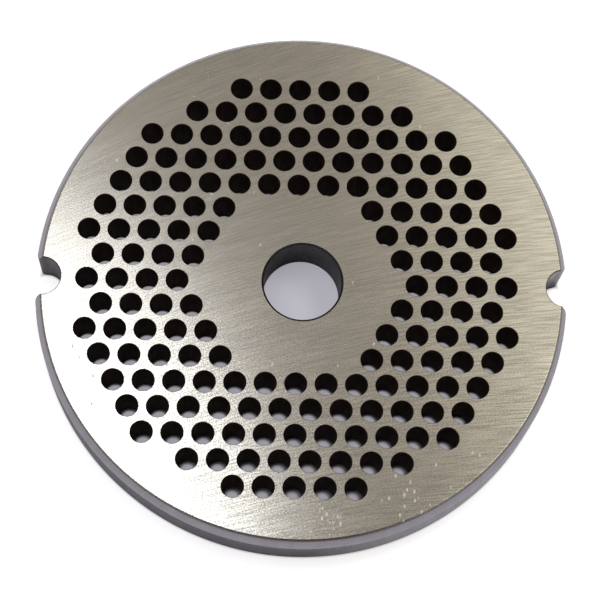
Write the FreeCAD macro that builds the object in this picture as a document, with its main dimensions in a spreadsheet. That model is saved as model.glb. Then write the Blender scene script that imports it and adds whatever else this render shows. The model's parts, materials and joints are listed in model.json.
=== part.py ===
import FreeCAD, Part
import math
import os
import Sketcher

# Meat grinder plate: one ground steel disc. A bore takes the stud of the feed screw, two round
# notches in the rim take the locating pins of the housing, and a field of straight holes on a
# triangular grid lets the meat through. The origin lies on the bore axis in the back face, +Z
# points out of the knife face, and +X runs along the rows of holes, from notch to notch.

# Driving dimensions in millimetres: name, value, meaning
DRIVING_SIZES = [
    ("plate_diameter", 82.0, "outside diameter of the rim"),
    ("plate_thickness", 9.0, "knife face to back face"),
    ("rim_bevel_width", 1.0, "bevel round the knife face, measured across the face"),
    ("rim_bevel_height", 1.5, "bevel round the knife face, measured down the rim"),
    ("back_edge_break", 0.4, "broken edge between the rim and the back face"),
    ("bore_diameter", 12.0, "bore for the stud of the feed screw"),
    ("bore_edge_break", 0.3, "broken edge at both mouths of the bore"),
    ("notch_radius", 2.95, "radius of both locating notches"),
    ("left_notch_depth", 4.0, "rim to the deepest point of the notch at -X"),
    ("right_notch_depth", 3.4, "rim to the deepest point of the notch at +X"),
    ("notch_edge_break", 0.15, "broken edge of the notches in both faces"),
    ("hole_diameter", 3.4, "every hole for the meat"),
    ("hole_web", 1.2, "steel between neighbouring holes where it is thinnest"),
    ("hub_land", 7.0, "least unpierced width round the bore, about the grid's own centre"),
    ("rim_land", 5.5, "least unpierced width inside the rim, about the grid's own centre"),
    ("grid_shift_along", -0.82, "grid centre from the bore axis along X: it was drilled off centre"),
    ("grid_shift_across", -0.19, "grid centre from the bore axis along Y"),
]

# A triangular grid repeats itself every sixth of a turn
GRID_SECTORS = 6

# How close an edge must lie to a face or a radius to be taken as that edge
EDGE_TOLERANCE = 1e-4

NODE_NAME = "grinder_plate"


def make_sizes(doc):
    """Write the driving dimensions to a sheet, one row each, with the name as the cell's alias."""
    sheet = doc.addObject("Spreadsheet::Sheet", "Sizes")
    for row, (name, value, meaning) in enumerate(DRIVING_SIZES, start=1):
        sheet.set("A%d" % row, name)
        sheet.set("B%d" % row, str(value))
        sheet.set("C%d" % row, meaning)
        sheet.setAlias("B%d" % row, name)
    doc.recompute()
    return sheet


def origin_plane(body, role):
    """Return one of the body's own origin planes."""
    for feature in body.Origin.OriginFeatures:
        if feature.Role == role:
            return feature
    raise RuntimeError("the body has no origin plane " + role)


def new_sketch(body, name, plane_role):
    sketch = body.newObject("Sketcher::SketchObject", name)
    sketch.AttachmentSupport = [(origin_plane(body, plane_role), "")]
    sketch.MapMode = "FlatFace"
    return sketch


def bind(sketch, constraint, name, expression):
    """Add a named dimension to a sketch and tie it to the sheet."""
    index = sketch.addConstraint(constraint)
    sketch.renameConstraint(index, name)
    sketch.setExpression("Constraints." + name, expression)


def require_cut(body, volume_before, what):
    """A cut that takes nothing away, or everything, shows no error of its own."""
    volume = body.Shape.Volume
    if not 0.0 < volume < volume_before:
        raise RuntimeError("the %s cut nothing from the plate" % what)
    return volume


# The turned blank: one half section, turned about the bore axis
def make_blank(body, sheet):
    sketch = new_sketch(body, "TurnedSection", "XZ_Plane")
    rim = sheet.plate_diameter / 2
    bore = sheet.bore_diameter / 2
    top = sheet.plate_thickness
    corners = [
        (bore + sheet.bore_edge_break, 0.0),
        (rim - sheet.back_edge_break, 0.0),
        (rim, sheet.back_edge_break),
        (rim, top - sheet.rim_bevel_height),
        (rim - sheet.rim_bevel_width, top),
        (bore + sheet.bore_edge_break, top),
        (bore, top - sheet.bore_edge_break),
        (bore, sheet.bore_edge_break),
    ]
    points = [FreeCAD.Vector(x, y, 0) for x, y in corners]
    count = len(points)
    for index, point in enumerate(points):
        sketch.addGeometry(Part.LineSegment(point, points[(index + 1) % count]), False)
    for index in range(count):
        sketch.addConstraint(Sketcher.Constraint("Coincident", index, 2, (index + 1) % count, 1))

    # Sides of the section, in the order in which they were drawn
    back, back_break, rim_wall, rim_bevel, front, front_bore_break, bore_wall, back_bore_break = range(8)
    for side in (back, front):
        sketch.addConstraint(Sketcher.Constraint("Horizontal", side))
    for side in (rim_wall, bore_wall):
        sketch.addConstraint(Sketcher.Constraint("Vertical", side))
    sketch.addConstraint(Sketcher.Constraint("PointOnObject", back, 1, -1))

    def across(name, start_line, start_end, end_line, end_end, expression):
        distance = sheet_value(sheet, expression)
        constraint = Sketcher.Constraint("DistanceX", start_line, start_end, end_line, end_end, distance)
        bind(sketch, constraint, name, expression)

    def along(name, start_line, start_end, end_line, end_end, expression):
        distance = sheet_value(sheet, expression)
        constraint = Sketcher.Constraint("DistanceY", start_line, start_end, end_line, end_end, distance)
        bind(sketch, constraint, name, expression)

    across("rim_radius", -1, 1, rim_wall, 1, "Sizes.plate_diameter / 2")
    across("bore_radius", -1, 1, bore_wall, 1, "Sizes.bore_diameter / 2")
    along("thickness", back, 1, front, 1, "Sizes.plate_thickness")
    across("bevel_width", rim_bevel, 2, rim_bevel, 1, "Sizes.rim_bevel_width")
    along("bevel_height", rim_bevel, 1, rim_bevel, 2, "Sizes.rim_bevel_height")
    across("back_break_width", back_break, 1, back_break, 2, "Sizes.back_edge_break")
    along("back_break_height", back_break, 1, back_break, 2, "Sizes.back_edge_break")
    across("front_mouth_width", front_bore_break, 2, front_bore_break, 1, "Sizes.bore_edge_break")
    along("front_mouth_height", front_bore_break, 2, front_bore_break, 1, "Sizes.bore_edge_break")
    across("back_mouth_width", back_bore_break, 1, back_bore_break, 2, "Sizes.bore_edge_break")
    along("back_mouth_height", back_bore_break, 2, back_bore_break, 1, "Sizes.bore_edge_break")

    blank = body.newObject("PartDesign::Revolution", "TurnedBlank")
    blank.Profile = sketch
    blank.ReferenceAxis = (sketch, ["V_Axis"])
    blank.Angle = 360
    return blank


def sheet_value(sheet, expression):
    """Read a sheet expression such as 'Sizes.name' or 'Sizes.name / 2' as a starting value."""
    name, _, divisor = expression.replace("Sizes.", "").partition("/")
    value = getattr(sheet, name.strip())
    return value / float(divisor) if divisor else value


# Two round notches that break out through the rim, each as deep as its own value says
def make_notches(body, sheet):
    sketch = new_sketch(body, "NotchCircles", "XY_Plane")
    sides = [("left", -1), ("right", 1)]
    for index, (side, direction) in enumerate(sides):
        depth = getattr(sheet, side + "_notch_depth")
        distance = sheet.plate_diameter / 2 - depth + sheet.notch_radius
        centre = FreeCAD.Vector(direction * distance, 0, 0)
        sketch.addGeometry(Part.Circle(centre, FreeCAD.Vector(0, 0, 1), sheet.notch_radius), False)
        sketch.addConstraint(Sketcher.Constraint("PointOnObject", index, 3, -1))
        ends = (index, 3, -1, 1) if direction < 0 else (-1, 1, index, 3)
        expression = "Sizes.plate_diameter / 2 - Sizes.%s_notch_depth + Sizes.notch_radius" % side
        bind(sketch, Sketcher.Constraint("DistanceX", *ends, distance), side + "_centre", expression)
    bind(sketch, Sketcher.Constraint("Radius", 0, sheet.notch_radius), "radius", "Sizes.notch_radius")
    sketch.addConstraint(Sketcher.Constraint("Equal", 0, 1))

    cut = body.newObject("PartDesign::Pocket", "LocatingNotches")
    cut.Profile = sketch
    cut.Type = "ThroughAll"
    cut.Reversed = True
    return cut


def notch_mouth_edges(shape, sheet):
    """Name the arcs where the notch walls meet the knife face and the back face."""
    names = []
    for index, edge in enumerate(shape.Edges, start=1):
        if edge.Curve.TypeId != "Part::GeomCircle":
            continue
        if abs(edge.Curve.Radius - sheet.notch_radius) > EDGE_TOLERANCE:
            continue
        height = edge.Curve.Center.z
        in_back = abs(height) < EDGE_TOLERANCE
        in_front = abs(height - sheet.plate_thickness) < EDGE_TOLERANCE
        if in_back or in_front:
            names.append("Edge%d" % index)
    return names


# A small chamfer along the notch arcs in both faces
def break_notch_edges(body, notches, sheet):
    edges = notch_mouth_edges(notches.Shape, sheet)
    if not edges:
        raise RuntimeError("found no notch arcs in the faces")
    chamfer = body.newObject("PartDesign::Chamfer", "NotchEdgeBreak")
    chamfer.Base = (notches, edges)
    chamfer.Size = sheet.notch_edge_break
    chamfer.setExpression("Size", "Sizes.notch_edge_break")
    return chamfer


def sector_steps(sheet):
    """Count grid steps from the grid centre to every hole in one sixth of the field.

    A hole lies a steps along the rows and b steps along a line at 60 degrees to them. It is
    drilled where its edge keeps the lands round the bore and inside the rim.
    """
    pitch = sheet.hole_diameter + sheet.hole_web
    hole_radius = sheet.hole_diameter / 2
    inner_limit = sheet.bore_diameter / 2 + sheet.hub_land + hole_radius
    outer_limit = sheet.plate_diameter / 2 - sheet.rim_land - hole_radius
    most_steps = int(outer_limit / pitch) + 1
    steps = []
    for b in range(most_steps + 1):
        for a in range(1, most_steps + 1):
            distance = pitch * math.sqrt(a * a + a * b + b * b)
            if inner_limit <= distance <= outer_limit:
                steps.append((a, b))
    return steps


# The holes of one sixth of the field, then five more turns of the same sixth
def make_holes(body, sheet):
    sketch = new_sketch(body, "HoleSector", "XY_Plane")
    sketch.setExpression("AttachmentOffset.Base.x", "Sizes.grid_shift_along")
    sketch.setExpression("AttachmentOffset.Base.y", "Sizes.grid_shift_across")
    pitch = sheet.hole_diameter + sheet.hole_web
    hole_radius = sheet.hole_diameter / 2
    pitch_expression = "(Sizes.hole_diameter + Sizes.hole_web)"
    for index, (a, b) in enumerate(sector_steps(sheet)):
        along = a + b / 2
        across = b * math.sqrt(3) / 2
        centre = FreeCAD.Vector(pitch * along, pitch * across, 0)
        sketch.addGeometry(Part.Circle(centre, FreeCAD.Vector(0, 0, 1), hole_radius), False)
        constraint = Sketcher.Constraint("DistanceX", -1, 1, index, 3, centre.x)
        bind(sketch, constraint, "along_%d_%d" % (a, b), "%s * %g" % (pitch_expression, along))
        if b == 0:
            sketch.addConstraint(Sketcher.Constraint("PointOnObject", index, 3, -1))
        else:
            constraint = Sketcher.Constraint("DistanceY", -1, 1, index, 3, centre.y)
            expression = "%s * %d * sqrt(3) / 2" % (pitch_expression, b)
            bind(sketch, constraint, "across_%d_%d" % (a, b), expression)
        if index == 0:
            bind(sketch, Sketcher.Constraint("Radius", 0, hole_radius), "radius", "Sizes.hole_diameter / 2")
        else:
            sketch.addConstraint(Sketcher.Constraint("Equal", 0, index))

    cut = body.newObject("PartDesign::Pocket", "HolesOfOneSector")
    cut.Profile = sketch
    cut.Type = "ThroughAll"
    cut.Reversed = True
    body.Document.recompute()

    pattern = body.newObject("PartDesign::PolarPattern", "HolesAllRound")
    pattern.Originals = [cut]
    pattern.Axis = (sketch, ["N_Axis"])
    pattern.Angle = 360
    pattern.Occurrences = GRID_SECTORS
    return cut, pattern


def check_document(doc, body):
    """Stop on any failed feature, and on anything but one valid solid."""
    for item in doc.Objects:
        if "Invalid" in item.State or "Error" in item.State:
            raise RuntimeError("%s failed: %s" % (item.Label, ", ".join(item.State)))
    shape = body.Shape
    if shape.isNull() or not shape.isValid() or len(shape.Solids) != 1:
        raise RuntimeError("the plate is not one valid solid")


def main():
    doc = FreeCAD.newDocument("MeatGrinderPlate")
    sheet = make_sizes(doc)
    body = doc.addObject("PartDesign::Body", "GrinderPlate")
    body.Label = NODE_NAME
    body.Placement = FreeCAD.Placement()

    make_blank(body, sheet)
    doc.recompute()
    volume = body.Shape.Volume

    notches = make_notches(body, sheet)
    doc.recompute()
    volume = require_cut(body, volume, "notches")

    break_notch_edges(body, notches, sheet)
    doc.recompute()
    volume = require_cut(body, volume, "broken notch edges")

    sector, pattern = make_holes(body, sheet)
    volume = require_cut(body, volume, "holes of one sector")
    body.Tip = pattern
    doc.recompute()
    require_cut(body, volume, "pattern of holes")

    check_document(doc, body)
    holes = len(sector.Profile[0].Geometry) * GRID_SECTORS
    print("%s: %d holes, %.1f cubic millimetres" % (body.Label, holes, body.Shape.Volume))
    os.makedirs("parts", exist_ok=True)
    body.Shape.exportStep("parts/%s.step" % body.Label)


main()
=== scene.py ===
import json
import math

import bmesh
import bpy
from bpy.props import FloatProperty, FloatVectorProperty, IntProperty, PointerProperty
from mathutils import Matrix, Vector


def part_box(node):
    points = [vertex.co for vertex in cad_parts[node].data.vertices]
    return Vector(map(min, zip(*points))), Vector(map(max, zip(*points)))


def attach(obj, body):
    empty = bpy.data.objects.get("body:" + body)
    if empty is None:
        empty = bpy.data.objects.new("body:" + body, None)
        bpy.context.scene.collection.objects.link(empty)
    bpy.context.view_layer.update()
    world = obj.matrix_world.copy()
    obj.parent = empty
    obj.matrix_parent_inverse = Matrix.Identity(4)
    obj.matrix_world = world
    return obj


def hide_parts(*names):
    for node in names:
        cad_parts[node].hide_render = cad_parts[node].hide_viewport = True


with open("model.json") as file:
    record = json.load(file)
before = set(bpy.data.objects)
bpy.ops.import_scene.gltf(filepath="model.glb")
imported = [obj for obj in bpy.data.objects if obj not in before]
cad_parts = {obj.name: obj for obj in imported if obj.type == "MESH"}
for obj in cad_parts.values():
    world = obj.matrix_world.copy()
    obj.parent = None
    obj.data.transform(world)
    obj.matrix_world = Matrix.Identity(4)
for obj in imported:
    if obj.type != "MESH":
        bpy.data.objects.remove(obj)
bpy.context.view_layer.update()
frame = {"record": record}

# A meat grinder plate of ground steel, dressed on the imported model: the turned blank with its
# bore, bevel and notches, the drilled field of holes, and a plain white stage.

bl_info = {
    "name": "Meat Grinder Plate",
    "version": (1, 0, 0),
    "blender": (4, 5, 0),
    "location": "3D View > Sidebar > Grinder Plate",
    "description": "Builds a ground steel grinder plate with a drilled field of holes",
    "category": "Mesh",
}

# Units
MM = 0.001
MICRON = 0.000001

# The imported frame
NODE = "grinder_plate"
BODY = "root"
PIECE = "ground_plate"
LOW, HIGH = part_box(NODE)
RIM_RADIUS = (HIGH.y - LOW.y) / 2
BACK = LOW.z
FRONT = HIGH.z
MOUNTS = {mount["name"]: mount for mount in frame["record"]["mounts"]}
BORE_RADIUS = MOUNTS["centre_bore"]["dims"]["r_mm"] * MM
NOTCHES = [MOUNTS[name]["pos_m"][0] for name in ("left_notch", "right_notch")]

# Finishes of the blank, in the order of its material slots
FACE, BEVEL, RIM, BORE, NOTCH = range(5)

# Shaping
ARC_FLATS = 4
CUTTER_MARGIN = 0.3 * MM
DRILL_MARGIN = 0.2 * MM
LEVEL_NORMAL = 0.999
SHARP_EDGE = math.radians(28)
LEAST_HOLES = 100


class PlateSizes(bpy.types.PropertyGroup):
    """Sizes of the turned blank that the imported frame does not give."""

    bevel_width: FloatProperty(
        name="Bevel Width", description="Bevel round the knife face, across the face",
        default=1.0 * MM, min=0.0, unit="LENGTH")
    bevel_height: FloatProperty(
        name="Bevel Height", description="Bevel round the knife face, down the rim",
        default=1.5 * MM, min=0.0, unit="LENGTH")
    back_break: FloatProperty(
        name="Back Edge Break", description="Broken edge between the rim and the back face",
        default=0.4 * MM, min=0.0, unit="LENGTH")
    bore_break: FloatProperty(
        name="Bore Edge Break", description="Broken edge at both mouths of the bore",
        default=0.3 * MM, min=0.0, unit="LENGTH")
    notch_radius: FloatProperty(
        name="Notch Radius", description="Radius of both locating notches",
        default=2.95 * MM, min=0.0, unit="LENGTH")
    notch_break: FloatProperty(
        name="Notch Edge Break", description="Broken edges of the notches",
        default=0.15 * MM, min=0.0, unit="LENGTH")
    mouth_easing: FloatProperty(
        name="Mouth Easing", description="Length of the rounding at the notch mouths, along the rim",
        default=1.3 * MM, min=0.0, unit="LENGTH")
    face_rounding: FloatProperty(
        name="Face Edge Rounding", description="Radius between the knife face and its bevel",
        default=0.4 * MM, min=0.0, unit="LENGTH")
    rim_rounding: FloatProperty(
        name="Rim Edge Rounding", description="Radius between the bevel and the rim wall",
        default=1.4 * MM, min=0.0, unit="LENGTH")
    turning_steps: IntProperty(
        name="Turning Steps", description="Flats round the rim and the bore",
        default=240, min=24)


class HoleFieldSizes(bpy.types.PropertyGroup):
    """Sizes of the drilled field."""

    hole_diameter: FloatProperty(
        name="Hole Diameter", description="Every hole that the meat is pressed through",
        default=3.4 * MM, min=0.0, unit="LENGTH")
    hole_web: FloatProperty(
        name="Web", description="Steel between neighbouring holes where it is thinnest",
        default=1.2 * MM, min=0.0, unit="LENGTH")
    hub_land: FloatProperty(
        name="Hub Land", description="Least unpierced width round the bore",
        default=7.0 * MM, min=0.0, unit="LENGTH")
    rim_land: FloatProperty(
        name="Rim Land", description="Least unpierced width inside the rim",
        default=5.5 * MM, min=0.0, unit="LENGTH")
    shift: FloatVectorProperty(
        name="Grid Shift", description="Grid centre from the bore axis, for it was drilled off centre",
        default=(-0.82 * MM, -0.19 * MM, 0.0), unit="LENGTH")
    lip: FloatProperty(
        name="Lip", description="Broken edge at both mouths of every hole",
        default=0.07 * MM, min=0.0, unit="LENGTH")
    flats: IntProperty(
        name="Flats", description="Flats round each hole",
        default=40, min=8)


class SteelFinish(bpy.types.PropertyGroup):
    """Colours and marks of the steel."""

    ground_steel: FloatVectorProperty(
        name="Ground Steel", description="Colour of the ground faces",
        default=(0.57, 0.55, 0.51), size=3, subtype="COLOR", min=0.0, max=1.0)
    bevel_steel: FloatVectorProperty(
        name="Bevel Steel", description="Colour of the bevel",
        default=(0.27, 0.26, 0.285), size=3, subtype="COLOR", min=0.0, max=1.0)
    rim_steel: FloatVectorProperty(
        name="Rim Steel", description="Colour of the rim wall, a little blue",
        default=(0.126, 0.124, 0.158), size=3, subtype="COLOR", min=0.0, max=1.0)
    reamed_steel: FloatVectorProperty(
        name="Reamed Steel", description="Colour of the bore wall",
        default=(0.21, 0.205, 0.215), size=3, subtype="COLOR", min=0.0, max=1.0)
    milled_steel: FloatVectorProperty(
        name="Milled Steel", description="Colour of the notch walls",
        default=(0.13, 0.12, 0.125), size=3, subtype="COLOR", min=0.0, max=1.0)
    drilled_steel: FloatVectorProperty(
        name="Drilled Steel", description="Colour of the hole walls, dark from drilling",
        default=(0.21, 0.155, 0.13), size=3, subtype="COLOR", min=0.0, max=1.0)
    line_slope: FloatProperty(
        name="Line Slope", description="Rise of the grinding lines towards +X, at the bore",
        default=0.30)
    line_curve: FloatProperty(
        name="Line Curve", description="Loss of slope for each metre towards +X",
        default=5.6)
    line_fan: FloatProperty(
        name="Line Fan", description="Gain of slope for each metre towards +Y",
        default=2.0)
    grinding_depth: FloatProperty(
        name="Grinding Depth", description="Depth of the lines in the ground faces",
        default=5.0 * MICRON, min=0.0, unit="LENGTH")


class StageSizes(bpy.types.PropertyGroup):
    """Camera, lamps and floor."""

    aim: FloatVectorProperty(
        name="Aim", description="Point on the knife face in the middle of the picture",
        default=(-0.36 * MM, -2.93 * MM, 9.0 * MM), unit="LENGTH")
    distance: FloatProperty(
        name="Distance", description="Camera from the aim point",
        default=303.14 * MM, unit="LENGTH")
    elevation: FloatProperty(
        name="Elevation", description="Camera above the horizon",
        default=math.radians(72.987), unit="ROTATION")
    azimuth: FloatProperty(
        name="Azimuth", description="Direction of view from +Y towards +X",
        default=math.radians(6.646), unit="ROTATION")
    roll: FloatProperty(
        name="Roll", description="Turn of the camera about its own line of sight",
        default=math.radians(7.776), unit="ROTATION")
    lens: FloatProperty(
        name="Lens", description="Focal length in millimetres", default=118.96, min=1.0)
    floor_radius: FloatProperty(
        name="Floor Radius", description="Flat part of the floor",
        default=1.3, unit="LENGTH")
    cove_height: FloatProperty(
        name="Cove Height", description="Top of the white cove round the floor",
        default=0.3, unit="LENGTH")
    floor_colour: FloatVectorProperty(
        name="Floor Colour", description="Colour of the floor",
        default=(0.80, 0.785, 0.86), size=3, subtype="COLOR", min=0.0, max=1.0)
    # Painted light on the floor under the plate, which the camera sees through the holes and the bore
    painted_light_under_plate: FloatVectorProperty(
        name="Hole Glow", description="What the camera sees on top of the floor through the holes",
        default=(0.31, 0.302, 0.34), size=3, subtype="COLOR", min=0.0, max=1.0)
    floor_glow: FloatProperty(
        name="Floor Glow", description="What the camera sees on top of the lit floor",
        default=0.68, min=0.0)
    mirror_glow: FloatProperty(
        name="Mirror Glow", description="What reflections see on top of the lit floor",
        default=0.4, min=0.0)
    room_colour: FloatVectorProperty(
        name="Room Colour", description="Colour of the light from all round",
        default=(0.375, 0.342, 0.295), size=3, subtype="COLOR", min=0.0, max=1.0)
    room_dusk: FloatVectorProperty(
        name="Room Dusk", description="Colour of the room where it is darkest",
        default=(0.06, 0.042, 0.04), size=3, subtype="COLOR", min=0.0, max=1.0)
    darkest_side: FloatVectorProperty(
        name="Darkest Side", description="Direction that the room is darkest in",
        default=(0.0, -0.6, 0.8), subtype="DIRECTION")


# Node wiring
class Wiring:
    """Adds nodes to one tree and links them, so that a step reads as one line."""

    def __init__(self, tree):
        self.tree = tree

    def feed(self, socket, value):
        if isinstance(value, bpy.types.NodeSocket):
            self.tree.links.new(value, socket)
        else:
            socket.default_value = value

    def node(self, kind, inputs=None, **settings):
        made = self.tree.nodes.new(kind)
        for name, value in settings.items():
            setattr(made, name, value)
        for key, value in (inputs or {}).items():
            self.feed(made.inputs[key], value)
        made.location = (220 * len(self.tree.nodes), 0)
        return made

    def maths(self, operation, *values):
        return self.node("ShaderNodeMath", dict(enumerate(values)), operation=operation).outputs[0]

    def vectors(self, operation, *values):
        made = self.node("ShaderNodeVectorMath", dict(enumerate(values)), operation=operation)
        return made.outputs["Value" if operation in ("LENGTH", "DOT_PRODUCT") else "Vector"]

    def ramp(self, value, low, high, to_low=0.0, to_high=1.0):
        inputs = {"Value": value, "From Min": low, "From Max": high,
                  "To Min": to_low, "To Max": to_high}
        return self.node("ShaderNodeMapRange", inputs, clamp=True).outputs["Result"]

    def times(self, *values):
        product = values[0]
        for value in values[1:]:
            product = self.maths("MULTIPLY", product, value)
        return product

    def scaled(self, vector, factor):
        made = self.node("ShaderNodeVectorMath", {0: vector, "Scale": factor}, operation="SCALE")
        return made.outputs[0]

    def distance(self, first, second):
        return self.vectors("LENGTH", self.vectors("SUBTRACT", first, second))

    def split(self, vector):
        return self.node("ShaderNodeSeparateXYZ", {"Vector": vector}).outputs

    def join(self, x=0.0, y=0.0, z=0.0):
        return self.node("ShaderNodeCombineXYZ", {"X": x, "Y": y, "Z": z}).outputs[0]

    def object_place(self):
        return self.node("ShaderNodeTexCoord").outputs["Object"]

    def mix_colours(self, factor, first, second):
        made = self.node("ShaderNodeMix", data_type="RGBA")
        for name, value in (("Factor_Float", factor), ("A_Color", first), ("B_Color", second)):
            socket = next(s for s in made.inputs if s.identifier == name)
            self.feed(socket, value)
        return next(s for s in made.outputs if s.identifier == "Result_Color")


SOCKET_TYPES = {float: "NodeSocketFloat", int: "NodeSocketInt", tuple: "NodeSocketVector"}


def new_group(name, kind, inputs, outputs):
    """Make a node group. An input has a name and a default, or a socket type that has none."""
    tree = bpy.data.node_groups.new(name, kind)
    for label, default in inputs:
        socket_type = SOCKET_TYPES.get(type(default), default)
        socket = tree.interface.new_socket(label, in_out="INPUT", socket_type=socket_type)
        if socket_type != default:
            socket.default_value = default
    result = "NodeSocketGeometry" if kind == "GeometryNodeTree" else "NodeSocketFloat"
    for label in outputs:
        tree.interface.new_socket(label, in_out="OUTPUT", socket_type=result)
    wiring = Wiring(tree)
    entry = wiring.node("NodeGroupInput")
    leave = wiring.node("NodeGroupOutput")
    return tree, wiring, entry.outputs, leave


def emptied_tree(owner):
    """Wiring for the emptied node tree of a material, a lamp or the world."""
    owner.use_nodes = True
    owner.node_tree.nodes.clear()
    return Wiring(owner.node_tree)


def solid_colour(colour, share=1.0):
    """A colour property as four numbers, made darker or lighter by share."""
    return (colour[0] * share, colour[1] * share, colour[2] * share, 1.0)


# Turned and milled shapes
def rounded_section(corners):
    """Turn corners (radius, height, rounding) into points, with an arc of flats at each."""
    points = []
    for index, (radius, height, rounding) in enumerate(corners):
        here = Vector((radius, height))
        before = (Vector(corners[index - 1][:2]) - here).normalized()
        after = (Vector(corners[(index + 1) % len(corners)][:2]) - here).normalized()
        if rounding <= 0.0:
            points.append(here)
            continue
        opening = before.angle(after)
        reach = rounding / math.tan(opening / 2)
        middle = here + (before + after).normalized() * (rounding / math.sin(opening / 2))
        first = here + before * reach - middle
        turn = math.pi - opening
        way = 1.0 if first.cross(here - middle) > 0 else -1.0
        for step in range(ARC_FLATS + 1):
            swing = Matrix.Rotation(way * turn * step / ARC_FLATS, 2)
            points.append(middle + swing @ first)
    return points


def level_ring(build, radius, height, steps):
    """A ring of corners about the Z axis."""
    angles = [2 * math.pi * step / steps for step in range(steps)]
    return [build.verts.new((radius * math.cos(a), radius * math.sin(a), height)) for a in angles]


def bridge(build, lower, upper):
    """Join two rings with a belt of four-sided faces."""
    for index in range(len(lower)):
        ahead = (index + 1) % len(lower)
        build.faces.new((lower[index], lower[ahead], upper[ahead], upper[index]))


def built_mesh(build, name):
    mesh = bpy.data.meshes.new(name)
    build.to_mesh(mesh)
    build.free()
    return mesh


def turned_mesh(name, section, steps):
    """Turn a closed section about the Z axis. Its level sides become two wide faces each."""
    build = bmesh.new()
    rings = [level_ring(build, point.x, point.y, steps) for point in section]
    half = steps // 2
    for index, ring in enumerate(rings):
        following = (index + 1) % len(rings)
        other = rings[following]
        if abs(section[index].y - section[following].y) >= MICRON:
            bridge(build, ring, other)
            continue
        for start in (0, half):
            there = [ring[(start + k) % steps] for k in range(half + 1)]
            back = [other[(start + k) % steps] for k in range(half, -1, -1)]
            build.faces.new(there + back)
    return built_mesh(build, name)


def notch_outline(along, radius, easing, steps=48, mouth_steps=7):
    """Plan of one notch cutter: an arc inside the rim, with its mouth corners rounded outwards."""
    side = math.copysign(1.0, along)
    distance = abs(along)
    mouth = (RIM_RADIUS ** 2 - radius ** 2 + distance ** 2) / (2 * distance)
    half_mouth = math.sqrt(RIM_RADIUS ** 2 - mouth ** 2)
    corner = Vector((mouth, half_mouth))
    first = math.atan2(half_mouth, mouth - distance) + easing / radius
    arc = []
    for step in range(steps + 1):
        angle = first + (2 * math.pi - 2 * first) * step / steps
        arc.append(Vector((distance + radius * math.cos(angle), radius * math.sin(angle))))
    rim_angle = math.atan2(half_mouth, mouth) + easing / RIM_RADIUS
    on_rim = Vector((math.cos(rim_angle), math.sin(rim_angle))) * (RIM_RADIUS + 0.02 * MM)
    rounding = []
    for step in range(mouth_steps):
        share = step / mouth_steps
        rounding.append(on_rim * (1 - share) ** 2 + corner * 2 * share * (1 - share)
                        + arc[0] * share ** 2)
    clear_of_rim = Vector((RIM_RADIUS + 3 * MM, on_rim.y + MM))
    upper = [clear_of_rim] + rounding
    lower = [Vector((point.x, -point.y)) for point in reversed(upper)]
    return [Vector((side * point.x, side * point.y)) for point in upper + arc + lower]


def notch_cutter(along, sizes):
    """The outline at four levels, wider by the edge break at both faces."""
    build = bmesh.new()
    flare = sizes.notch_break + CUTTER_MARGIN
    levels = (
        (BACK - CUTTER_MARGIN, flare),
        (BACK + sizes.notch_break, 0.0),
        (FRONT - sizes.notch_break, 0.0),
        (FRONT + CUTTER_MARGIN, flare),
    )
    rings = []
    for height, wider in levels:
        outline = notch_outline(along, sizes.notch_radius + wider, sizes.mouth_easing)
        rings.append([build.verts.new((p.x, p.y, height)) for p in outline])
    for lower, upper in zip(rings, rings[1:]):
        bridge(build, lower, upper)
    build.faces.new(list(reversed(rings[0])))
    build.faces.new(rings[-1])
    bmesh.ops.recalc_face_normals(build, faces=build.faces)
    return built_mesh(build, "notch_cutter")


def applied_copy(piece):
    """The evaluated object as a plain mesh."""
    graph = bpy.context.evaluated_depsgraph_get()
    return bpy.data.meshes.new_from_object(
        piece.evaluated_get(graph), preserve_all_data_layers=True, depsgraph=graph)


def cut_away(piece, cutter_mesh):
    """Take one cutter out of the piece and drop the cutter."""
    cutter = bpy.data.objects.new("cutter", cutter_mesh)
    bpy.context.scene.collection.objects.link(cutter)
    modifier = piece.modifiers.new("Cut", "BOOLEAN")
    modifier.operation = "DIFFERENCE"
    modifier.solver = "EXACT"
    modifier.object = cutter
    faces_before = len(piece.data.polygons)
    cut = applied_copy(piece)
    piece.modifiers.remove(modifier)
    piece.data = cut
    bpy.data.objects.remove(cutter)
    if len(cut.polygons) <= faces_before:
        raise RuntimeError("a cutter took nothing from the blank")


def finish_of(centre, normal, sizes):
    """Which finish a face of the blank has, from where it is and where it points."""
    reach = math.hypot(centre.x, centre.y)
    if abs(normal.z) > LEVEL_NORMAL:
        return FACE
    if reach < BORE_RADIUS + sizes.bore_break:
        return BORE

    # Rim and bevel face away from the axis, and the walls of a notch do not
    level = Vector((normal.x, normal.y)).normalized()
    outwards = level.dot(Vector((centre.x, centre.y)) / reach)
    if outwards < 0.93 or reach < RIM_RADIUS - sizes.bevel_width * 1.5:
        return NOTCH

    # The normal of the bevel rises by 0.55, which lies between these two limits
    if normal.z > 0.7:
        return FACE
    return BEVEL if normal.z > 0.2 else RIM


def shade_crisp(mesh):
    """Smooth the walls, and keep every edge of a flat face and every real corner sharp."""
    build = bmesh.new()
    build.from_mesh(mesh)
    for face in build.faces:
        face.smooth = True
    for edge in build.edges:
        if len(edge.link_faces) != 2:
            raise RuntimeError("the plate is not closed")
        first, second = (face.normal for face in edge.link_faces)
        one_flat = (abs(first.z) > LEVEL_NORMAL) != (abs(second.z) > LEVEL_NORMAL)
        edge.smooth = not one_flat and first.angle(second, 0.0) < SHARP_EDGE
    build.to_mesh(mesh)
    build.free()


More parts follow.
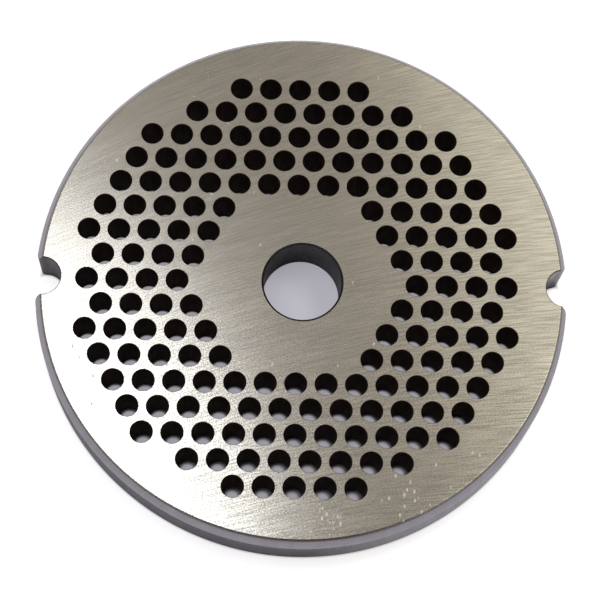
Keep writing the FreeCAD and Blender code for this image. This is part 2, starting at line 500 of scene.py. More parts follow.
# Drilled field
def hole_field_tree():
    """Geometry nodes: a triangular grid of drills, kept between two lands, cut from the blank."""
    tree, wiring, given, leave = new_group("Drilled Hole Field", "GeometryNodeTree", (
        ("Geometry", "NodeSocketGeometry"), ("Hole Diameter", 3.4 * MM), ("Web", 1.2 * MM),
        ("Lip", 0.07 * MM), ("Inner Limit", 14.7 * MM), ("Outer Limit", 33.8 * MM),
        ("Grid Shift", (0.0, 0.0, 0.0)), ("Plate Thickness", 9.0 * MM), ("Flats", 40),
        ("Finish", "NodeSocketMaterial")), ("Geometry",))

    # Grid points in a square lattice, then sheared to a triangular one
    pitch = wiring.maths("ADD", given["Hole Diameter"], given["Web"])
    reach = wiring.maths("CEIL", wiring.maths("DIVIDE", given["Outer Limit"], pitch))
    steps = wiring.times(reach, 4.0)
    rows = wiring.maths("ADD", steps, 1.0)
    side = wiring.times(steps, pitch)
    lattice = wiring.node("GeometryNodeMeshGrid", {
        "Size X": side, "Size Y": side, "Vertices X": rows, "Vertices Y": rows})
    place = wiring.node("GeometryNodeInputPosition").outputs[0]
    parts = wiring.split(place)
    sheared = wiring.join(
        wiring.maths("MULTIPLY_ADD", parts["Y"], 0.5, parts["X"]),
        wiring.times(parts["Y"], math.sin(math.radians(60))))
    triangular = wiring.node("GeometryNodeSetPosition", {
        "Geometry": lattice.outputs["Mesh"], "Position": sheared}).outputs[0]

    # Only the points between the lands carry a hole
    distance = wiring.vectors("LENGTH", place)
    either = []
    for limit, side in (("Inner Limit", "LESS_THAN"), ("Outer Limit", "GREATER_THAN")):
        beyond = wiring.node("FunctionNodeCompare", {"A": distance, "B": given[limit]}, operation=side)
        either.append(beyond.outputs[0])
    unwanted = wiring.node("FunctionNodeBooleanMath", dict(enumerate(either)), operation="OR")
    field = wiring.node("GeometryNodeDeleteGeometry", {
        "Geometry": triangular, "Selection": unwanted.outputs[0]}, domain="POINT").outputs[0]
    half = wiring.maths("DIVIDE", given["Plate Thickness"], 2.0)
    shifted = wiring.node("GeometryNodeSetPosition", {
        "Geometry": field,
        "Offset": wiring.vectors("ADD", given["Grid Shift"], wiring.join(z=half))}).outputs[0]

    # One drill: a cylinder of four rings, whose outer rings flare to cut the lips
    radius = wiring.maths("DIVIDE", given["Hole Diameter"], 2.0)
    cylinder = wiring.node("GeometryNodeMeshCylinder", {
        "Vertices": given["Flats"], "Side Segments": 3,
        "Radius": radius, "Depth": given["Plate Thickness"]}, fill_type="NGON")
    past_inner_rings = wiring.times(half, 0.66)
    at_end = wiring.maths("GREATER_THAN", wiring.maths("ABSOLUTE", parts["Z"]), past_inner_rings)
    end_height = wiring.maths("ADD", half, DRILL_MARGIN)
    lip_height = wiring.maths("SUBTRACT", half, given["Lip"])
    rise = wiring.maths("SUBTRACT", end_height, lip_height)
    height = wiring.maths("MULTIPLY_ADD", rise, at_end, lip_height)
    growth = wiring.maths("DIVIDE", wiring.times(rise, at_end), radius)
    wider = wiring.maths("ADD", growth, 1.0)
    flared = wiring.join(
        wiring.times(parts["X"], wider), wiring.times(parts["Y"], wider),
        wiring.times(wiring.maths("SIGN", parts["Z"]), height))
    drill = wiring.node("GeometryNodeSetPosition", {
        "Geometry": cylinder.outputs["Mesh"], "Position": flared}).outputs[0]
    drills = wiring.node("GeometryNodeInstanceOnPoints", {
        "Points": shifted, "Instance": drill}).outputs[0]
    solids = wiring.node("GeometryNodeRealizeInstances", {"Geometry": drills}).outputs[0]

    # Cut, and give the upright walls between the lands their own finish
    cut = wiring.node("GeometryNodeMeshBoolean", {
        "Mesh 1": given["Geometry"], "Mesh 2": solids}, operation="DIFFERENCE", solver="MANIFOLD")
    real = wiring.node("GeometryNodeRealizeInstances", {"Geometry": cut.outputs["Mesh"]})
    facing = wiring.split(wiring.node("GeometryNodeInputNormal").outputs[0])
    upright = wiring.maths("LESS_THAN", wiring.maths("ABSOLUTE", facing["Z"]), 0.9)
    plan = wiring.vectors("MULTIPLY", place, (1.0, 1.0, 0.0))
    from_grid = wiring.distance(plan, given["Grid Shift"])
    edge = wiring.maths("ADD", radius, given["Lip"])
    outside_hub = wiring.maths(
        "GREATER_THAN", from_grid, wiring.maths("SUBTRACT", given["Inner Limit"], edge))
    inside_rim = wiring.maths(
        "LESS_THAN", from_grid, wiring.maths("ADD", given["Outer Limit"], edge))
    drilled = wiring.times(upright, outside_hub, inside_rim)
    finished = wiring.node("GeometryNodeSetMaterial", {
        "Geometry": real.outputs[0], "Selection": drilled, "Material": given["Finish"]})
    wiring.feed(leave.inputs["Geometry"], finished.outputs[0])
    return tree


def set_inputs(modifier, values):
    """Set a modifier's inputs by the identifiers of their sockets."""
    for item in modifier.node_group.interface.items_tree:
        if item.item_type == "SOCKET" and item.in_out == "INPUT" and item.name in values:
            modifier[item.identifier] = values[item.name]


# Marks that several finishes share
def grinding_lines_group():
    """Curved grinding lines: fine lines, bright dashes and slow bands."""
    tree, wiring, given, leave = new_group("Grinding Lines", "ShaderNodeTree", (
        ("Slope", 0.3), ("Curve", 5.6), ("Fan", 2.0), ("Lines", 4800.0), ("Length", 170.0)),
        ("Lines", "Dashes", "Bands"))
    place = wiring.object_place()
    parts = wiring.split(place)
    along, up = parts["X"], parts["Y"]

    # One line is where this height stays the same
    straight = wiring.times(along, given["Slope"])
    bent = wiring.times(along, along, given["Curve"], 0.5)
    fanned = wiring.times(along, up, given["Fan"])
    raised = wiring.maths("ADD", up, bent)
    across = wiring.maths("SUBTRACT", raised, wiring.maths("ADD", straight, fanned))

    def streaks(finer, shorter, layer, detail):
        vector = wiring.join(
            wiring.times(across, wiring.times(given["Lines"], finer)),
            wiring.times(along, wiring.times(given["Length"], shorter)), layer)
        return wiring.node("ShaderNodeTexNoise", {
            "Vector": vector, "Scale": 1.0, "Detail": detail, "Roughness": 0.6}).outputs["Fac"]

    wiring.feed(leave.inputs["Lines"], streaks(1.0, 1.0, 0.0, 4.0))
    dashes = wiring.ramp(streaks(1.6, 1.2, 7.3, 1.0), 0.66, 0.76)
    wiring.feed(leave.inputs["Dashes"], dashes)
    wiring.feed(leave.inputs["Bands"], streaks(0.15, 0.25, 3.1, 2.0))
    return tree


def hair_scratch_group():
    """One thin straight scratch between two points of the face."""
    tree, wiring, given, leave = new_group("Hair Scratch", "ShaderNodeTree", (
        ("From", (0.0, 0.0, 0.0)), ("To", (0.01, 0.0, 0.0)), ("Width", 0.1 * MM)), ("Mask",))
    place = wiring.object_place()
    plan = wiring.vectors("MULTIPLY", place, (1.0, 1.0, 0.0))
    from_start = wiring.vectors("SUBTRACT", plan, given["From"])
    whole = wiring.vectors("SUBTRACT", given["To"], given["From"])
    way = wiring.vectors("NORMALIZE", whole)
    along = wiring.vectors("DOT_PRODUCT", from_start, way)
    span = wiring.vectors("LENGTH", whole)
    held = wiring.maths("MINIMUM", wiring.maths("MAXIMUM", along, 0.0), span)
    off = wiring.distance(from_start, wiring.scaled(way, held))
    half = wiring.times(given["Width"], 0.5)
    fade = wiring.maths("DIVIDE", off, half)
    wiring.feed(leave.inputs["Mask"], wiring.ramp(fade, 0.5, 1.3, 1.0, 0.0))
    return tree


def glinting_specks_group():
    """Tiny nicks, the mask of their painted glint: one in some of the cells of a fine grid, thicker at
    given spots.
    """
    tree, wiring, given, leave = new_group("Glinting Specks", "ShaderNodeTree", (
        ("Spacing", 0.55 * MM), ("Share", 0.012), ("Cluster", 0.0)), ("Mask",))
    place = wiring.object_place()
    drawn_out = wiring.vectors("MULTIPLY", place, (1.0, 0.5, 0.0))
    cells = wiring.node("ShaderNodeTexVoronoi", {
        "Vector": drawn_out, "Scale": wiring.maths("DIVIDE", 1.0, given["Spacing"])})
    dot = wiring.ramp(cells.outputs["Distance"], 0.16, 0.36, 1.0, 0.0)
    draw = wiring.node("ShaderNodeSeparateColor", {"Color": cells.outputs["Color"]}).outputs
    share = wiring.maths("MULTIPLY_ADD", given["Cluster"], 0.8, given["Share"])
    chosen = wiring.maths("LESS_THAN", draw[0], share)
    painted_glint = wiring.times(chosen, wiring.ramp(draw[1], 0.0, 1.0, 0.35, 1.0))
    wiring.feed(leave.inputs["Mask"], wiring.times(dot, painted_glint))
    return tree


def cloudy_tone_group():
    """Slow patches and fine grain of tone, the same in every direction."""
    tree, wiring, given, leave = new_group("Cloudy Tone", "ShaderNodeTree", (
        ("Patch Size", 12.0 * MM), ("Grain Size", 0.25 * MM), ("Seed", 0.0)),
        ("Patches", "Grain"))
    place = wiring.object_place()
    for label, size in (("Patches", "Patch Size"), ("Grain", "Grain Size")):
        scale = wiring.maths("DIVIDE", 1.0, given[size])
        noise = wiring.node("ShaderNodeTexNoise", {
            "Vector": place, "W": given["Seed"], "Scale": scale, "Detail": 2.0},
            noise_dimensions="4D")
        wiring.feed(leave.inputs[label], noise.outputs["Fac"])
    return tree


def tool_lines_group():
    """Fine lines of a turned or drilled wall: rings round its axis, and streaks along it."""
    tree, wiring, given, leave = new_group("Tool Lines", "ShaderNodeTree", (
        ("Axis", (0.0, 0.0, 0.0)), ("Rings", 3000.0), ("Streaks", 40.0), ("Seed", 0.0)),
        ("Rings", "Streaks"))
    place = wiring.object_place()
    from_axis = wiring.vectors("SUBTRACT", place, given["Axis"])
    parts = wiring.split(from_axis)
    flat = wiring.join(parts["X"], parts["Y"])
    reach = wiring.vectors("LENGTH", flat)
    way = wiring.vectors("NORMALIZE", flat)

    # The direction from the axis is used, and not its angle, so the pattern has no seam
    def lines(round_share, level):
        vector = wiring.vectors("ADD", wiring.scaled(way, round_share), wiring.join(z=level))
        return wiring.node("ShaderNodeTexNoise", {
            "Vector": vector, "W": given["Seed"], "Scale": 1.0, "Detail": 3.0},
            noise_dimensions="4D").outputs["Fac"]

    height = wiring.maths("ADD", parts["Z"], reach)
    rings = lines(3.0, wiring.times(height, given["Rings"]))
    streaks = lines(given["Streaks"], wiring.times(parts["Z"], 150.0))
    wiring.feed(leave.inputs["Rings"], rings)
    wiring.feed(leave.inputs["Streaks"], streaks)
    return tree


# Finishes
def new_material(name):
    """A metal material, which takes the place of one that an earlier run left."""
    material = bpy.data.materials.get(name)
    if material:
        bpy.data.materials.remove(material)
    material = bpy.data.materials.new(name)
    wiring = emptied_tree(material)
    surface = wiring.node("ShaderNodeBsdfPrincipled", {"Metallic": 1.0})
    wiring.node("ShaderNodeOutputMaterial", {"Surface": surface.outputs["BSDF"]})
    return material, wiring, surface


def use_group(wiring, name, maker, inputs=None):
    """Place a node group, which is made the first time that a material needs it."""
    tree = bpy.data.node_groups.get(name) or maker()
    return wiring.node("ShaderNodeGroup", inputs, node_tree=tree).outputs


def feed_relief(wiring, surface, height, depth):
    bump = wiring.node("ShaderNodeBump", {"Height": height, "Distance": depth, "Strength": 1.0})
    wiring.feed(surface.inputs["Normal"], bump.outputs["Normal"])


# Scratches that stand out on the knife face: start and end in millimetres, width in microns
FACE_SCRATCHES = (
    ((-2.5, -7.8), (-0.6, -9.5), 90),
    ((-1.0, -9.2), (0.6, -10.6), 80),
    ((-15.4, 34.5), (-15.2, 30.9), 80),
    ((33.0, -6.2), (35.0, -6.0), 90),
    ((16.8, -31.9), (17.1, -33.6), 90),
)
# Spots where the nicks lie thickest: place and reach in millimetres
NICKED_SPOTS = (((4.2, -36.2), 4.0), ((15.3, -33.8), 3.6), ((19.6, -33.4), 2.0))
# Near white: the painted glint of the nicks, scratches and bright dashes
PAINTED_GLINT_COLOUR = (0.93, 0.92, 0.90, 1.0)
# How much grain and lines show: from and to a place on the face, and the share at both
GRAIN_ALONG_X = (12.0 * MM, 34.0 * MM, 1.0, 0.5)
GRAIN_ALONG_Y = (-16.0 * MM, 6.0 * MM, 1.8, 0.6)
LINES_ALONG_X = (-25.0 * MM, -8.0 * MM, 0.5, 1.0)
LINES_ALONG_Y = (-30.0 * MM, 10.0 * MM, 1.5, 1.0)


def ground_face_steel(finish):
    """Ground faces: fine curved lines over a matt grain, a few hair scratches and small nicks, which
    carry a painted glint.
    """
    material, wiring, surface = new_material("ground_face_steel")
    marks = use_group(wiring, "Grinding Lines", grinding_lines_group, {
        "Slope": finish.line_slope, "Curve": finish.line_curve, "Fan": finish.line_fan})
    tone = use_group(wiring, "Cloudy Tone", cloudy_tone_group)
    place = wiring.object_place()
    parts = wiring.split(place)
    plan = wiring.vectors("MULTIPLY", place, (1.0, 1.0, 0.0))
    scratched = 0.0
    for start, end, width in FACE_SCRATCHES:
        scratch = use_group(wiring, "Hair Scratch", hair_scratch_group, {
            "From": (start[0] * MM, start[1] * MM, 0.0), "To": (end[0] * MM, end[1] * MM, 0.0),
            "Width": width * MICRON})
        scratched = wiring.maths("MAXIMUM", scratch["Mask"], scratched)
    scratched = wiring.times(scratched, wiring.ramp(tone["Grain"], 0.42, 0.60, 0.1, 1.0))
    cluster = 0.0
    for spot, reach in NICKED_SPOTS:
        off = wiring.distance(plan, (spot[0] * MM, spot[1] * MM, 0.0))
        cluster = wiring.maths("MAXIMUM", wiring.ramp(off, 0.0, reach * MM, 1.0, 0.0), cluster)
    nicks = use_group(
        wiring, "Glinting Specks", glinting_specks_group, {"Cluster": cluster})["Mask"]
    painted_glint = wiring.maths(
        "MAXIMUM", wiring.times(marks["Dashes"], 0.35),
        wiring.maths("MAXIMUM", wiring.times(scratched, 0.3), nicks))

    # The lines are plain to see at the right, and elsewhere a matt grain hides them in part
    grain_share = wiring.times(
        wiring.ramp(parts["X"], *GRAIN_ALONG_X), wiring.ramp(parts["Y"], *GRAIN_ALONG_Y))
    line_share = wiring.times(
        wiring.ramp(parts["X"], *LINES_ALONG_X), wiring.ramp(parts["Y"], *LINES_ALONG_Y))
    line_tone = wiring.ramp(marks["Lines"], 0.42, 0.58, -0.5, 0.5)
    grain_tone = wiring.ramp(tone["Grain"], 0.38, 0.62, -0.5, 0.5)
    mixed = wiring.maths(
        "MULTIPLY_ADD", grain_tone, grain_share, wiring.times(line_tone, line_share))

    # Colour: dark and light marks about the steel's own colour
    steel = finish.ground_steel
    lined = wiring.mix_colours(
        wiring.ramp(mixed, -1.4, 1.4), solid_colour(steel, 0.55), solid_colour(steel, 1.45))
    clouded = wiring.mix_colours(
        wiring.ramp(tone["Patches"], 0.3, 0.7, 0.0, 0.25), lined, solid_colour(steel, 0.88))
    # The dashes, scratches and nicks are real marks, and the near white they are mixed towards is a
    # painted glint
    marked = wiring.mix_colours(wiring.times(painted_glint, 0.8), clouded, PAINTED_GLINT_COLOUR)
    wiring.feed(surface.inputs["Base Color"], marked)

    # Gloss: each line has its own, and the nicks scatter
    rough = wiring.ramp(mixed, -0.7, 0.7, 0.22, 0.16)
    slow = wiring.ramp(marks["Bands"], 0.3, 0.7, -0.02, 0.02)
    rough = wiring.maths("ADD", wiring.maths("ADD", rough, slow), wiring.times(nicks, 0.5))
    wiring.feed(surface.inputs["Roughness"], rough)
    surface.inputs["Anisotropic"].default_value = 0.6

    # The highlight is drawn out across the lines
    lean = wiring.maths("MULTIPLY_ADD", parts["X"], finish.line_curve, -finish.line_slope)
    lean = wiring.maths("MULTIPLY_ADD", parts["Y"], -finish.line_fan, lean)
    across = wiring.join(lean, wiring.maths("MULTIPLY_ADD", parts["X"], -finish.line_fan, 1.0))
    wiring.feed(surface.inputs["Tangent"], wiring.vectors("NORMALIZE", across))

    # Relief
    relief = wiring.maths(
        "MULTIPLY_ADD", wiring.times(tone["Grain"], grain_share), 0.5, marks["Lines"])
    height = wiring.maths("SUBTRACT", relief, wiring.times(scratched, 0.1))
    feed_relief(wiring, surface, height, finish.grinding_depth)
    return material


# Walls: the share of the colour that a band of painted shade keeps, and how far the gloss strays
PAINTED_SHADE_SHARE = 0.25
GLOSS_SPREAD = 0.05


def walled_steel(name, colour, axis, rings, streaks, rough, depth, dark, light, painted_shade_band=None):
    """A turned, reamed, milled or drilled wall, with tool lines round and along its axis.

    Its lines and clouds run from the dark to the light share of its colour. A band of painted shade
    (low, high, fade and strength) darkens it between two heights.
    """
    material, wiring, surface = new_material(name)
    lines = use_group(wiring, "Tool Lines", tool_lines_group, {
        "Axis": axis, "Rings": rings, "Streaks": streaks})
    tone = use_group(wiring, "Cloudy Tone", cloudy_tone_group, {"Patch Size": 4.0 * MM})
    both = wiring.times(wiring.maths("ADD", lines["Rings"], lines["Streaks"]), 0.5)
    lined = wiring.mix_colours(
        wiring.ramp(both, 0.38, 0.62), solid_colour(colour, dark), solid_colour(colour, light))
    clouded = wiring.mix_colours(
        wiring.ramp(tone["Patches"], 0.35, 0.7, 0.0, 0.4), lined, solid_colour(colour, dark))
    # Painted shade: the colour is darker between two heights
    if painted_shade_band:
        low, high, fade, strength = painted_shade_band
        height = wiring.split(wiring.object_place())["Z"]
        inside = wiring.times(
            wiring.ramp(height, low - fade, low), wiring.ramp(height, high, high + fade, 1.0, 0.0))
        clouded = wiring.mix_colours(
            wiring.times(inside, strength), clouded, solid_colour(colour, PAINTED_SHADE_SHARE))
    wiring.feed(surface.inputs["Base Color"], clouded)
    gloss = wiring.ramp(both, 0.35, 0.65, rough + GLOSS_SPREAD, rough - GLOSS_SPREAD)
    wiring.feed(surface.inputs["Roughness"], gloss)
    feed_relief(wiring, surface, wiring.maths("MULTIPLY_ADD", tone["Grain"], 0.2, both), depth)
    return material


def plate_finishes(finish, sizes):
    """The materials of the blank, from FACE to NOTCH."""
    middle = (0.0, 0.0, 0.0)
    bevel_foot = FRONT - sizes.bevel_height
    # Painted shade: a dark band at the top of the rim wall
    rim_painted_shade = (bevel_foot - 3.0 * MM, bevel_foot - 0.2 * MM, 1.5 * MM, 0.5)
    # Painted shade: a dark line along the bevel's edge with the knife face, for the dark room that the
    # edge reflects
    face_edge_painted_shade = (FRONT - 0.22 * MM, FRONT + 1.0 * MM, 0.12 * MM, 0.6)
    # Painted shade: a dark ring round the bore's mouth
    bore_mouth_painted_shade = (FRONT - 0.9 * sizes.bore_break, FRONT + 1.0 * MM, 0.02 * MM, 0.9)
    return (
        ground_face_steel(finish),
        walled_steel(
            "turned_bevel_steel", finish.bevel_steel, middle, rings=5200.0, streaks=30.0,
            rough=0.26, depth=1.0 * MICRON, dark=0.94, light=1.05, painted_shade_band=face_edge_painted_shade),
        walled_steel(
            "turned_rim_steel", finish.rim_steel, middle, rings=5200.0, streaks=30.0,
            rough=0.30, depth=1.0 * MICRON, dark=0.9, light=1.08, painted_shade_band=rim_painted_shade),
        walled_steel(
            "reamed_bore_steel", finish.reamed_steel, middle, rings=900.0, streaks=16.0,
            rough=0.30, depth=2.0 * MICRON, dark=0.72, light=1.2, painted_shade_band=bore_mouth_painted_shade),
        walled_steel(
            "milled_notch_steel", finish.milled_steel, (NOTCHES[0], 0.0, 0.0), rings=1500.0,
            streaks=14.0, rough=0.30, depth=2.0 * MICRON, dark=0.75, light=1.2),
    )


# Stage
# Soft lamps: name, shape, place and size in millimetres, turn in degrees, watts, colour, the share
# of the width over which the lamp's face brightens from its left edge, and whether steel mirrors it
LAMPS = (
    ("key_softbox", "DISK", (-189.0, 46.0, 609.0), (382.0, 382.0), 0.0, 1.15, (0.94, 0.972, 1.0),
     0.0, True),
    ("warm_softbox", "RECTANGLE", (278.0, 195.0, 609.0), (420.0, 600.0), 12.0, 0.75,
     (0.98, 0.95, 0.78), 0.25, True),
    ("side_lamp", "DISK", (250.0, 190.0, 560.0), (220.0, 220.0), 0.0, 0.9, (0.96, 0.97, 1.0),
     0.0, False),
)
# Light of the paper: from and to a place, and its share at both where that is not 0 and 1
PLATE_EDGE = (RIM_RADIUS - 0.3 * MM, RIM_RADIUS + 0.2 * MM)
# Where reflections see the floor's glow: past the foot, and on the right half up to it; the gap at the
# left foot is a painted shadow
PAST_FOOT = (RIM_RADIUS + 0.5 * MM, RIM_RADIUS + 9.0 * MM)
BRIGHT_FOOT = (1.0 * MM, 15.0 * MM, 0.0, 0.8)
MIRROR_REACH = (0.25, 0.6, 1.0, 0.0)
# Painted shade in the holes: how far it reaches, from and to a place, and where it sets in
SHADE_REACH = (-32.0 * MM, 4.0 * MM, 1.6 * MM, 0.2 * MM)
SHADE_EDGE = (0.55, 0.74)
# Painted shade under the plate: the floor's colour there, as a share of the open floor's
PAINTED_SHADE_UNDER_PLATE = 0.4
# The dark side of the room: the cosines of the angles where it begins and where it is full
DUSK_EDGE = (0.80, 0.93)


def hang_lamp(scene, name, shape, place, size, turn, power, colour, fade, mirrored):
    """An area lamp that faces down."""
    lamp = bpy.data.lights.new(name, "AREA")
    lamp.shape = shape
    lamp.size, lamp.size_y = (length * MM for length in size)
    lamp.energy = power
    lamp.color = colour
    if fade > 0.0:
        wiring = emptied_tree(lamp)
        width = wiring.split(wiring.node("ShaderNodeNewGeometry").outputs["Parametric"])["X"]
        glow = wiring.node("ShaderNodeEmission", {"Strength": wiring.ramp(width, 0.0, fade)})
        wiring.node("ShaderNodeOutputLight", {"Surface": glow.outputs[0]})
    hung = bpy.data.objects.new(name, lamp)
    hung.location = Vector(place) * MM
    hung.rotation_euler = (0.0, 0.0, math.radians(turn))
    hung.visible_glossy = mirrored
    scene.collection.objects.link(hung)


def floor_paper(stage, notch_radius):
    """White paper with lights of its own for the camera and for reflections, with painted shade and
    painted light under the plate.
    """
    material = bpy.data.materials.new("white_floor")
    wiring = emptied_tree(material)
    tone = use_group(wiring, "Cloudy Tone", cloudy_tone_group, {"Patch Size": 60.0 * MM})
    path = wiring.node("ShaderNodeLightPath").outputs
    place = wiring.object_place()
    parts = wiring.split(place)
    reach = wiring.vectors("LENGTH", place)

    # Open floor lies outside the rim and in the notches, and the rest is under the plate
    outside = wiring.ramp(reach, *PLATE_EDGE)
    open_floor = outside
    for along in NOTCHES:
        off = wiring.distance(place, (along, 0.0, 0.0))
        notch_floor = wiring.ramp(off, notch_radius - 0.35 * MM, notch_radius, 1.0, 0.0)
        open_floor = wiring.maths("MAXIMUM", open_floor, notch_floor)
    colour = wiring.mix_colours(
        wiring.ramp(tone["Patches"], 0.3, 0.7), solid_colour(stage.floor_colour, 0.98),
        solid_colour(stage.floor_colour))
    # Painted shade: the floor under the plate is darker
    colour = wiring.mix_colours(open_floor, solid_colour(stage.floor_colour, PAINTED_SHADE_UNDER_PLATE), colour)
    paper = wiring.node("ShaderNodeBsdfDiffuse", {"Color": colour})

    # White for the camera, and white in reflections except close to the foot of the plate's left half,
    # where reflections see a painted shadow of the plate
    right_half = wiring.ramp(parts["X"], *BRIGHT_FOOT)
    past_foot = wiring.ramp(reach, *PAST_FOOT)
    past_foot = wiring.maths("MAXIMUM", past_foot, wiring.times(right_half, outside))
    mirrored = wiring.times(wiring.ramp(reach, *MIRROR_REACH), past_foot)
    seen = wiring.times(path["Is Camera Ray"], open_floor, stage.floor_glow)
    reflected = wiring.maths("MAXIMUM", path["Is Glossy Ray"], path["Is Transmission Ray"])
    reflected = wiring.times(reflected, mirrored, stage.mirror_glow)
    glow = wiring.node("ShaderNodeEmission", {"Strength": wiring.maths("ADD", seen, reflected)})

    # Painted light under the plate for the camera, with painted shade near each hole's far wall, the
    # more so towards the viewer
    near_wall = wiring.node("ShaderNodeAmbientOcclusion", {
        "Distance": wiring.ramp(parts["Y"], *SHADE_REACH)}, samples=16)
    under = wiring.times(wiring.maths("SUBTRACT", 1.0, open_floor), path["Is Camera Ray"])
    under = wiring.times(under, wiring.ramp(near_wall.outputs["AO"], *SHADE_EDGE))
    painted_light_in_holes = wiring.node("ShaderNodeEmission", {
        "Color": solid_colour(stage.painted_light_under_plate), "Strength": under})
    glows = wiring.node("ShaderNodeAddShader", {0: glow.outputs[0], 1: painted_light_in_holes.outputs[0]})
    both = wiring.node("ShaderNodeAddShader", {0: paper.outputs[0], 1: glows.outputs[0]})
    wiring.node("ShaderNodeOutputMaterial", {"Surface": both.outputs[0]})
    return material


def floor_mesh(stage, steps=96, cove_steps=12, bend=0.12):
    """A flat floor that sweeps up into a low cove."""
    build = bmesh.new()
    low = BACK - 0.02 * MM
    section = [(stage.floor_radius, low)]
    for step in range(1, cove_steps + 1):
        angle = math.pi / 2 * step / cove_steps
        section.append((stage.floor_radius + bend * math.sin(angle),
                        low + bend * (1 - math.cos(angle))))
    section.append((stage.floor_radius + bend, stage.cove_height))
    rings = [level_ring(build, radius, height, steps) for radius, height in section]
    build.faces.new(rings[0])
    for lower, upper in zip(rings, rings[1:]):
        bridge(build, upper, lower)
    for face in build.faces:
        face.smooth = len(face.verts) == 4
    return built_mesh(build, "white_floor")


def lay_floor(scene, stage):
    mesh = floor_mesh(stage)
    mesh.materials.append(floor_paper(stage, scene.plate_sizes.notch_radius))
    floor = bpy.data.objects.new("white_floor", mesh)
    scene.collection.objects.link(floor)


def light_room(scene, stage):
    """Soft light from all round, with one dark side."""
    world = bpy.data.worlds.new("Room")
    wiring = emptied_tree(world)
    way = wiring.node("ShaderNodeTexCoord").outputs["Generated"]
    towards = wiring.vectors("DOT_PRODUCT", way, tuple(stage.darkest_side))
    colour = wiring.mix_colours(
        wiring.ramp(towards, *DUSK_EDGE), solid_colour(stage.room_colour),
        solid_colour(stage.room_dusk))
    light = wiring.node("ShaderNodeBackground", {"Color": colour})
    wiring.node("ShaderNodeOutputWorld", {"Surface": light.outputs[0]})
    scene.world = world


def set_camera(scene, stage):
    """Place the camera at the viewing angle of the photograph."""
    level = math.cos(stage.elevation)
    forward = Vector((
        math.sin(stage.azimuth) * level, math.cos(stage.azimuth) * level,
        -math.sin(stage.elevation)))
    level_right = forward.cross(Vector((0.0, 0.0, 1.0))).normalized()
    level_up = level_right.cross(forward)
    right = level_right * math.cos(stage.roll) + level_up * math.sin(stage.roll)
    up = right.cross(forward)
    turn = Matrix((right, up, -forward)).transposed().to_4x4()
    lens = bpy.data.cameras.new("camera")
    lens.lens = stage.lens
    lens.sensor_width = 36.0
    lens.clip_start = 0.01
    lens.clip_end = 10.0
    camera = bpy.data.objects.new("camera", lens)
    camera.matrix_world = Matrix.Translation(Vector(stage.aim) - forward * stage.distance) @ turn
    scene.collection.objects.link(camera)
    scene.camera = camera


# Operators
class GRINDERPLATE_OT_turn_blank(bpy.types.Operator):
    """Turn the blank, mill its notches and give its faces their finishes"""

    bl_idname = "grinder_plate.turn_blank"
    bl_label = "Turn Blank"

    def execute(self, context):
        sizes = context.scene.plate_sizes
        inner, fine = BORE_RADIUS, 0.06 * MM
        section = rounded_section((
            (inner + sizes.bore_break, BACK, fine),
            (RIM_RADIUS - sizes.back_break, BACK, fine),
            (RIM_RADIUS, BACK + sizes.back_break, fine),
            (RIM_RADIUS, FRONT - sizes.bevel_height, sizes.rim_rounding),
            (RIM_RADIUS - sizes.bevel_width, FRONT, sizes.face_rounding),
            (inner + sizes.bore_break, FRONT, fine),
            (inner, FRONT - sizes.bore_break, fine),
            (inner, BACK + sizes.bore_break, fine),
        ))
        mesh = turned_mesh(PIECE, section, sizes.turning_steps)
        piece = bpy.data.objects.new(PIECE, mesh)
        context.scene.collection.objects.link(piece)
        for along in NOTCHES:
            cut_away(piece, notch_cutter(along, sizes))
        piece.data.materials.clear()
        for material in plate_finishes(context.scene.steel_finish, sizes):
            piece.data.materials.append(material)
        for face in piece.data.polygons:
            face.material_index = finish_of(face.center, face.normal, sizes)
        return {"FINISHED"}


class GRINDERPLATE_OT_drill_holes(bpy.types.Operator):
    """Drill the field of holes in the blank and hand the finished plate to the frame"""

    bl_idname = "grinder_plate.drill_holes"
    bl_label = "Drill Holes"

    def execute(self, context):
        piece = bpy.data.objects.get(PIECE)
        if piece is None:
            raise RuntimeError("turn the blank before drilling it")
        field = context.scene.hole_field_sizes
        finish = context.scene.steel_finish
        radius = field.hole_diameter / 2
        drilled = walled_steel(
            "drilled_hole_steel", finish.drilled_steel, (0.0, 0.0, 0.0), rings=3000.0,
            streaks=60.0, rough=0.45, depth=2.0 * MICRON, dark=0.7, light=1.2)
        modifier = piece.modifiers.new("Hole Field", "NODES")
        modifier.node_group = hole_field_tree()
        set_inputs(modifier, {
            "Hole Diameter": field.hole_diameter,
            "Web": field.hole_web,
            "Lip": field.lip,
            "Inner Limit": BORE_RADIUS + field.hub_land + radius,
            "Outer Limit": RIM_RADIUS - field.rim_land - radius,
            "Grid Shift": tuple(field.shift),
            "Plate Thickness": FRONT - BACK,
            "Flats": field.flats,
            "Finish": drilled,
        })
        mesh = applied_copy(piece)
        piece.modifiers.remove(modifier)
        if len(mesh.polygons) < LEAST_HOLES * field.flats:
            raise RuntimeError("the drills left no field of holes")
        mesh.name = PIECE
        piece.data = mesh
        shade_crisp(mesh)
        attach(piece, BODY)
        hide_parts(NODE)
        return {"FINISHED"}


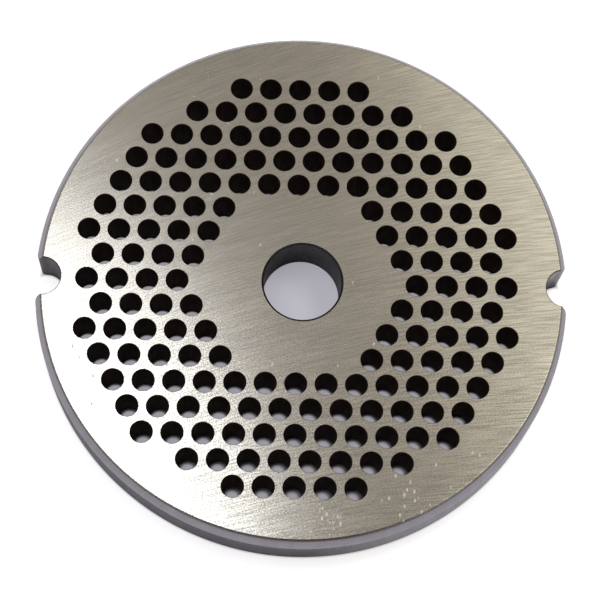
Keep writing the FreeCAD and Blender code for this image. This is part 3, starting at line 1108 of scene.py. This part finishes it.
class GRINDERPLATE_OT_set_stage(bpy.types.Operator):
    """Lay a white floor, hang the soft lamps and set the camera"""

    bl_idname = "grinder_plate.set_stage"
    bl_label = "Set Stage"

    def execute(self, context):
        scene = context.scene
        stage = scene.stage_sizes
        lay_floor(scene, stage)
        light_room(scene, stage)
        for lamp in LAMPS:
            hang_lamp(scene, *lamp)
        set_camera(scene, stage)
        scene.view_settings.view_transform = "Standard"
        return {"FINISHED"}


class GRINDERPLATE_PT_sidebar(bpy.types.Panel):
    """Lists the steps and the sizes"""

    bl_label = "Grinder Plate"
    bl_space_type = "VIEW_3D"
    bl_region_type = "UI"
    bl_category = "Grinder Plate"

    def draw(self, context):
        for step, group_name in STEPS:
            box = self.layout.box()
            box.operator(step.bl_idname)
            group = getattr(context.scene, group_name)
            for name in group.__annotations__:
                box.prop(group, name)
        box = self.layout.box()
        for name in SteelFinish.__annotations__:
            box.prop(context.scene.steel_finish, name)


STEPS = (
    (GRINDERPLATE_OT_turn_blank, "plate_sizes"),
    (GRINDERPLATE_OT_drill_holes, "hole_field_sizes"),
    (GRINDERPLATE_OT_set_stage, "stage_sizes"),
)
GROUPS = (
    ("plate_sizes", PlateSizes),
    ("hole_field_sizes", HoleFieldSizes),
    ("steel_finish", SteelFinish),
    ("stage_sizes", StageSizes),
)


def register():
    for name, group in GROUPS:
        bpy.utils.register_class(group)
        setattr(bpy.types.Scene, name, PointerProperty(type=group))
    for operator, _ in STEPS:
        bpy.utils.register_class(operator)
    bpy.utils.register_class(GRINDERPLATE_PT_sidebar)


def unregister():
    bpy.utils.unregister_class(GRINDERPLATE_PT_sidebar)
    for operator, _ in reversed(STEPS):
        bpy.utils.unregister_class(operator)
    for name, group in reversed(GROUPS):
        delattr(bpy.types.Scene, name)
        bpy.utils.unregister_class(group)


def main():
    register()
    bpy.ops.grinder_plate.turn_blank()
    bpy.ops.grinder_plate.drill_holes()
    bpy.ops.grinder_plate.set_stage()


if __name__ == "__main__":
    main()
